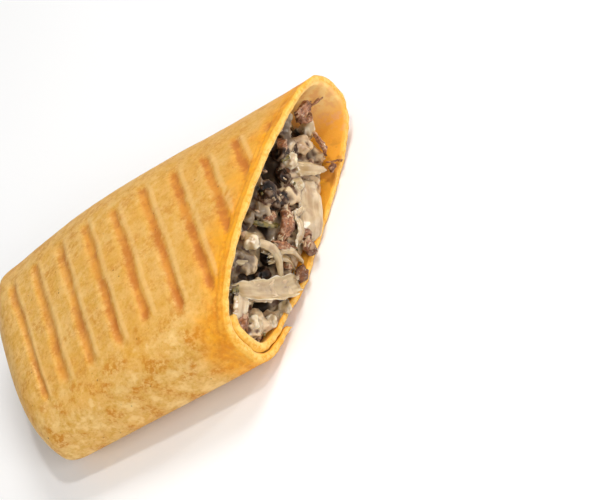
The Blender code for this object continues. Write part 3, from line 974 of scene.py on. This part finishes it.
def add_strip(bm, start, end, breadth, thickness, bend=0.0, lean=0.0, rise=1.0,
              cup=0.0, ends=0.72, taper=0.0, ragged=0.8, fray=1.0, ribs=0.06, wave=0.4,
              rough=0.0, seed=0.0, rows=STRIP_ROWS, columns=STRIP_COLUMNS):
    """Adds a bent strip between two places in the cut. Lean turns its breadth out of the
    face, in degrees, and rise lifts its middle, in millimetres. Ends is how broad it stays
    there, ragged and fray tear its sides and ends, and rough makes it knobbly."""
    path_start, path_end = on_cut(*start), on_cut(*end)
    run = (path_end - path_start).normalized()
    side = run.cross(OUT).normalized()
    lean = math.radians(lean)
    length = (path_end - path_start).length / MM
    breadth_way = side * math.cos(lean) + OUT * math.sin(lean)
    thick_way = run.cross(breadth_way).normalized()
    if thick_way.dot(OUT) < 0:
        thick_way.negate()

    def place(row_share, column_share):
        turn = 2 * math.pi * column_share
        share = 0.5 - 0.5 * math.cos(math.pi * row_share)
        off_middle = abs(2 * share - 1)
        swell = math.sin(math.pi * share)
        full = max(1 - off_middle ** 14, 0) ** (1 / 4)
        narrow = (ends + (1 - ends) * swell ** 0.6) * (1 - taper * share)
        middle = path_start.lerp(path_end, share) + side * bend * MM * swell
        middle += OUT * rise * swell * MM
        across = power(math.cos(turn), 0.55) * breadth / 2 * narrow * full
        thick = power(math.sin(turn), 0.7) * thickness / 2 * full ** 0.5
        thick *= 1 - 0.55 * abs(math.cos(turn)) ** 3
        edge = breadth / 2 * 0.14 * noise.noise(Vector((0, share * 9, seed))) * ragged
        across += edge * math.copysign(1, across) if across else 0
        dish = cup * breadth * (2 * across / breadth) ** 2
        point = middle + (breadth_way * across + thick_way * (thick - dish)) * MM
        tip = off_middle ** 8 * (1 if share > 0.5 else -1)
        torn = noise.noise(Vector((across * 1.9, seed, 3)))
        point += run * fray * 1.6 * torn * tip * MM
        rib = math.sin(across * 5.5 + 2 * noise.noise(Vector((share * 5, seed, 0))))
        point += thick_way * ribs * rib * MM
        point += thick_way * wave * noise_at(point, 5, seed) * MM
        point += thick_way * rough * noise_at(point, 1.2, seed + 5) * MM
        point += side * rough * noise_at(point, 1.4, seed + 9) * MM
        return [point, across + 7 * seed, share * length]

    return wrapped_grid(bm, rows, columns, place, ("across", "lengthwise"))


def add_strips(bm, rows, seed, seed_step, **shared):
    """Adds strips by rows of start, end, breadth, thickness and what else differs."""
    for number, (start, end, breadth, thickness, own) in enumerate(rows):
        add_strip(bm, start, end, breadth, thickness, seed=seed + number * seed_step,
                  **shared, **own)


print("a strip's net has", STRIP_ROWS * STRIP_COLUMNS, "faces")

# %% Pieces of food: keep them
def keep_food(name, bm, finish, replaced=("filling",), melted=True):
    """Settles pieces of food in the roll, marks what stands proud, and keeps them.
    Melted ones also leave a copy in the heap, for the sauce."""
    bmesh.ops.remove_doubles(bm, verts=bm.verts[:], dist=0.01 * MM)
    settle(bm)
    mark_proud(bm, 2)
    mark_deep(bm)
    if melted:
        data = bpy.data.meshes.new("copy")
        bm.to_mesh(data)
        heap.from_mesh(data)
        bpy.data.meshes.remove(data)
    return keep(name, bm, finish, replaced, weld=0.005)


print("heap so far:", len(heap.faces), "faces")

# %% Strips: onion
onion = Finish("cooked onion", Roughness=0.22, Specular_IOR_Level=0.6, Coat_Weight=0.8,
               Coat_Roughness=0.12, Subsurface_Weight=0.5, Subsurface_Scale=0.003,
               Subsurface_Radius=(1.0, 0.8, 0.5))
proud, behind = marks_on(onion)
stain = onion.noise(4.0, 3, 0.5)
veins = onion.streaks(1.3)
onion.feed(Base_Color=onion.coats(
    tone(164, 134, 90),
    (tone(202, 176, 134), (veins * 0.6 + stain * 0.5).step(0.38, 0.72)),
    # painted highlight on the proud edges
    (tone(234, 218, 190), proud.step(0.58, 0.86) * 0.75),
    (tone(128, 92, 58), stain.step(0.54, 0.72) * 0.6),
    # painted shade: darker deeper behind the face, broken up by the stain pattern
    (tone(112, 78, 50), (behind + stain * 1.5).step(-0.6, 1.8) * 0.8)))
onion.bump(veins * 0.5 + stain * 0.5, 0.2, 0.3)

ONION = [
    ((13.4, 24.6, -2.8), (27.6, 3.2, -0.6), 4.8, 1.2,
     dict(bend=1.3, lean=16, cup=-0.20, ends=0.5, taper=-0.6, ragged=1.6, fray=4.0, ribs=0.09,
          wave=0.6)),
    ((29.2, 23.0, -2.0), (25.2, 8.4, -1.4), 3.4, 1.5, dict(bend=-3.6, lean=12, cup=0.16)),
    ((28.6, 15.8, -1.6), (33.9, 4.2, -0.8), 2.3, 1.3, dict(bend=-2.2, lean=30)),
    ((27.4, 14.6, -2.4), (31.6, 5.0, -2.0), 1.9, 1.0, dict(bend=-1.8, lean=20)),
    ((56.8, 15.8, -2.8), (62.0, 6.2, -0.6), 6.4, 1.0, dict(lean=26, taper=0.8, cup=0.10)),
    ((30.0, 17.0, -3.6), (35.0, 9.5, -3.0), 2.0, 1.0, dict(bend=1.0, lean=-20)),
    ((21.5, 25.5, -3.4), (26.5, 18.0, -3.0), 1.8, 0.9, dict(bend=0.8, lean=10)),
]
strips = bmesh.new()
add_strips(strips, ONION, 0, 3.1)
CREAM_LUMPS = [
    ((28.8, 23.4, -2.4), (5.4, 5.0, 4.6)), ((71.5, 12.2, -6.2), (5.6, 5.0, 4.4)),
    ((18.6, 4.6, -1.8), (6.2, 3.8, 4.4)), ((9.4, 12.8, -2.0), (5.2, 4.4, 4.0)),
    ((13.4, 7.4, -1.8), (4.4, 3.8, 3.6)), ((17.2, 4.4, -1.5), (6.0, 3.0, 3.6)),
    ((53.0, 12.5, -3.0), (4.4, 4.4, 3.6)),
]
for place, size in CREAM_LUMPS:
    add_chunk(strips, place, size, 0.45, folds=0.03)
keep_food("onion_strips", strips, onion)

# %% Strips: cabbage leaf
cabbage = Finish("cabbage leaf", Roughness=0.24, Specular_IOR_Level=0.6, Coat_Weight=0.7,
                 Coat_Roughness=0.08, Subsurface_Weight=0.45, Subsurface_Scale=0.003,
                 Subsurface_Radius=(1.0, 0.8, 0.4))
proud, behind = marks_on(cabbage)
stain = cabbage.noise(4.0, 3, 0.5)
veins = cabbage.streaks(1.5)
cabbage.feed(Base_Color=cabbage.coats(
    tone(172, 138, 100),
    (tone(214, 190, 154), (veins * 0.7 + stain * 0.5).step(0.4, 0.75)),
    # painted highlight on the proud edges
    (tone(234, 220, 190), proud.step(0.58, 0.82) * 0.8),
    (tone(140, 98, 66), stain.step(0.54, 0.70) * 0.5),
    # painted shade: darker deeper behind the face, broken up by the stain pattern
    (tone(104, 72, 44), (behind + stain * 1.5).step(-0.6, 1.8) * 0.8)))
cabbage.bump(veins * 0.5 + stain * 0.5, 0.2, 0.4)

CABBAGE = [
    ((56.4, 10.2, -2.2), (41.2, 3.0, -0.5), 7.0, 1.1,
     dict(bend=0.6, lean=-24, ragged=1.6, wave=0.9, cup=0.06)),
    ((44.2, 10.8, -1.3), (37.4, 7.6, -0.7), 4.6, 0.9,
     dict(bend=-0.4, lean=20, ragged=2.2, fray=2.6, ends=0.6, wave=0.8)),
    ((15.4, 20.8, -2.8), (7.6, 18.4, -2.6), 5.4, 1.8,
     dict(bend=0.4, lean=-8, ragged=1.4, wave=0.6)),
    ((48.0, 9.0, -2.2), (43.0, 12.5, -2.2), 2.6, 0.8, dict(lean=30, ragged=2.0, wave=0.9)),
    ((15.0, 19.0, -2.0), (21.8, 8.4, -1.3), 2.6, 1.0,
     dict(bend=1.2, lean=26, ends=0.4, ragged=2.2, wave=0.8)),
]
leaves = bmesh.new()
add_strips(leaves, CABBAGE, 20, 2.3)
add_chunk(leaves, (57.8, 17.6, -3.0), (4.2, 4.2, 3.6), 0.5)
keep_food("cabbage_leaves", leaves, cabbage)

# %% Strips and lumps: beef
beef = Finish("stewed beef", Roughness=0.36, Specular_IOR_Level=0.3, Coat_Weight=0.35,
              Coat_Roughness=0.08, Subsurface_Weight=0.08, Subsurface_Scale=0.001,
              Subsurface_Radius=(1.0, 0.4, 0.3))
proud, behind = marks_on(beef)
fibre = beef.noise(0.9, 3, 0.6, stretch=(0.6, 2.2, 2.2)) * 0.5 + beef.streaks(0.5) * 0.5
patch = beef.noise(2.2, 4, 0.6)
beef.feed(Base_Color=beef.coats(
    tone(92, 50, 26),
    (tone(182, 122, 82), (fibre + patch * 0.5).step(0.58, 0.95)),
    # pale on proud parts and patches: partly cream smears, partly painted highlight
    (tone(210, 180, 146), (proud * 0.6 + patch).step(0.92, 1.08) * 0.6),
    # painted shade: darker in the hollows
    (tone(58, 36, 24), proud.step(0.44, 0.22) * 0.6),
    # painted shade: darker behind the face
    (tone(52, 34, 24), (behind + patch * 1.5).step(0.0, 2.4) * 0.8),
    (tone(78, 42, 27), (beef.dot((0, 0, 1)) + patch * 3).step(8.5, 5) * 0.6)))
beef.bump(fibre * 1.0 + patch * 0.4, 0.3, 0.6)

BEEF_STRIPS = [
    ((44.0, 14.4, -1.9), (35.2, 13.2, -1.3), 3.6, 2.6, {}),
    ((32.6, 15.4, -2.0), (35.2, 8.4, -1.2), 2.6, 2.0, {}),
    ((70.0, 12.6, -3.0), (67.0, 6.4, -2.4), 1.5, 1.2, {}),
    ((36.5, 20.5, -3.0), (40.5, 18.0, -2.6), 2.2, 1.6, {}),
]
BEEF_LUMPS = [
    ((38.3, 3.6, 0.5), (5.0, 4.4, 3.8)), ((30.2, 3.4, 0.2), (4.4, 3.0, 3.2)),
    ((31.4, 7.9, -2.2), (3.2, 3.2, 3.0)), ((7.0, 16.8, -2.4), (4.8, 5.2, 4.2)),
    ((41.8, 5.4, -1.4), (3.6, 3.4, 3.2)), ((63.4, 5.2, 0.2), (2.6, 2.0, 2.2)),
    ((60.0, 22.0, -3.8), (3.6, 3.2, 3.0)), ((12.4, 6.2, -1.6), (3.0, 2.6, 2.6)),
]
BEEF_CRUMBS = 46
meat = bmesh.new()
add_strips(meat, BEEF_STRIPS, 40, 1.7, ragged=2.2, fray=2.4, ribs=0.16, wave=0.9, rough=0.45)
for place, size in BEEF_LUMPS:
    add_chunk(meat, place, size, 0.75, 4, 5)
for number in range(BEEF_CRUMBS):
    along, up = draw.uniform(4, 68), draw.uniform(4, 26)
    depth = face_depth(along, up)
    size = [draw.uniform(0.7, 2.2) for _ in range(3)]
    if depth < recess(along) + GAP_FROM:
        add_chunk(meat, (along, up, draw.uniform(0.7, 1.5) - depth), size, 0.6, 2, 3, number)
keep_food("beef_pieces", meat, beef)

# %% Lumps: mushroom
mushroom = Finish("dark mushroom", Roughness=0.34, Specular_IOR_Level=0.2, Coat_Weight=0.14,
                  Coat_Roughness=0.12, Coat_Tint=(1.0, 0.88, 0.74, 1))
proud = mushroom.attribute("proud")
patch = mushroom.noise(2.6, 3, 0.5)
mushroom.feed(Base_Color=mushroom.coats(
    tone(16, 8, 4),
    # lighter brown on proud parts and patches: partly random tone, partly painted highlight
    (tone(66, 42, 27), (patch + proud * 0.7).step(0.78, 1.15)),
    # pale grey on the most proud parts: partly cream smears, partly painted highlight
    (tone(176, 150, 122), (patch * 0.8 + proud).step(1.16, 1.36) * 0.5)))
mushroom.bump(patch, 0.3, 0.4)

caps = bmesh.new()
CAPS = [
    ((44.4, 22.4, -2.8), (5.4, 6.4, 4.4), 0, 0.20),
    ((42.8, 19.8, -2.6), (5.0, 5.4, 4.4), 3, 0.20),
    ((46.2, 17.4, -3.0), (4.8, 4.4, 3.8), 7, 0.16),
    ((58.6, 20.6, -4.4), (4.6, 4.6, 3.6), 5, 0.16),
    ((61.8, 16.6, -4.6), (4.6, 3.6, 3.4), 0, 0.08),
    ((24.8, 13.0, -4.4), (4.4, 4.0, 3.0), 0, 0.08),
    ((53.6, 17.0, -4.6), (4.0, 4.2, 3.0), 0, 0.08),
]
for place, size, seed, folds in CAPS:
    add_chunk(caps, place, size, 0.6, seed=seed, folds=folds)
keep_food("mushroom_pieces", caps, mushroom)

# %% Strips and specks: green herbs
green = Finish("green bits", Roughness=0.3, Specular_IOR_Level=0.5, Coat_Weight=0.3)
patch = green.noise(1.5, 3, 0.6)
green.feed(Base_Color=green.mix(tone(60, 52, 14), tone(122, 104, 44), patch.step(0.4, 0.6)))
green.bump(patch, 0.2, 0.6)

greens = bmesh.new()
add_strip(greens, (34.4, 24.2, -2.7), (38.6, 15.6, -2.2), 1.9, 0.9, 0.6, 30, seed=61)
add_strip(greens, (56.0, 20.5, -3.4), (58.5, 19.5, -3.0), 1.0, 0.5, 0.2, 30, seed=62, rows=20)
GREEN_SPECKS = [
    (13.2, 24.2, -1.6), (14.4, 23.2, -1.7), (47.0, 23.8, -2.2), (23.0, 9.0, -1.6),
    (52.0, 15.0, -1.6), (9.0, 8.8, -1.4), (36.5, 6.0, -2.0), (43.0, 24.5, -2.4),
]
for number, place in enumerate(GREEN_SPECKS):
    size = (2.0, 1.4, 0.9) if number < 2 else (1.1, 0.8, 0.6)
    add_chunk(greens, place, size, 0.6, 2, seed=number)
keep_food("green_bits", greens, green)

# %% [markdown]
# ## Sauce that climbs on the pieces
# The face now holds the heap, its lumps and a copy of every piece. A voxel remesh melts
# them into one skin, and smoothing draws it off the ridges and fills the nooks, as a thick
# sauce does. Then the skin sinks a little by a varying amount, so that the pieces come
# through it and smears of cream stay on them.

# %% Filling: melt the face
HEAP_VOXEL = 0.36 * MM
SKIN_SINKS = 0.16 * MM
SKIN_VARIES = 0.36 * MM
SKIN_GRAIN = 0.06 * MM
SMOOTHINGS = 6


def remeshed(bm, voxel):
    """Melts the overlapping closed shapes of a bmesh into one skin."""
    data = bpy.data.meshes.new("to_remesh")
    bm.to_mesh(data)
    bm.free()
    shape = add_object("to_remesh", data)
    remesh = shape.modifiers.new("remesh", "REMESH")
    remesh.mode = "VOXEL"
    remesh.voxel_size = voxel
    depsgraph = bpy.context.evaluated_depsgraph_get()
    melted = bmesh.new()
    melted.from_mesh(shape.evaluated_get(depsgraph).to_mesh())
    bpy.data.objects.remove(shape)
    bpy.data.meshes.remove(data)
    return melted


heap = remeshed(heap, HEAP_VOXEL)
for _ in range(SMOOTHINGS):
    bmesh.ops.smooth_vert(heap, verts=heap.verts[:], factor=0.5,
                          use_axis_x=True, use_axis_y=True, use_axis_z=True)
heap.normal_update()
for vert in heap.verts:
    sink = SKIN_SINKS + SKIN_VARIES * noise_at(vert.co, 2.6, 7)
    vert.co += vert.normal * (SKIN_GRAIN * noise_at(vert.co, 0.9, 7) - sink)
settle(heap)
mark_proud(heap, 3)
mark_deep(heap)
keep("filling_face", heap, cream, ["filling"], weld=0.001)

# %% [markdown]
# A scrap of beef clings to the wall of the hollow at the tip, and a loose thread of meat lies
# on the wall and over the rim, where the knife dragged it.

# %% Scrap of beef in the hollow
scrap = bmesh.new()
SHREDS = [
    ((69.5, 21.5, -2.6), (77.5, 17.0, -4.4), 3.0, 1.8, {}),
    ((69.8, 19.0, -3.4), (75.6, 14.6, -4.6), 1.9, 1.3, dict(bend=0.8)),
    ((73.5, 18.5, -3.0), (80.8, 14.2, -2.2), 0.9, 0.7, dict(bend=-0.6)),
]
add_strips(scrap, SHREDS, 70, 2.1, lean=25, ends=0.5, ragged=2.2, ribs=0.16, wave=0.8,
           rough=0.4)
add_chunk(scrap, (72.6, 18.6, -3.4), (4.2, 3.4, 3.0), 0.8, 4, 4, folds=0.2)
keep_food("beef_scrap_meat", scrap, beef, ["beef_scrap"], melted=False)

# %% Loose thread
dried = Finish("dried juice", Roughness=0.5)
tint = dried.noise(1.2, 3, 0.6)
dried.feed(Base_Color=dried.mix(tone(112, 62, 26), tone(190, 130, 66), tint.step(0.4, 0.6)))
threads = bmesh.new()
add_strip(threads, (64.0, 7.0, -0.6), (69.2, 1.8, 0.1), 0.6, 0.5, bend=0.5, rise=0.1,
          ragged=0.2, ribs=0, wave=0.35, seed=80, rows=24, columns=10)
keep_food("meat_threads", threads, dried, melted=False)
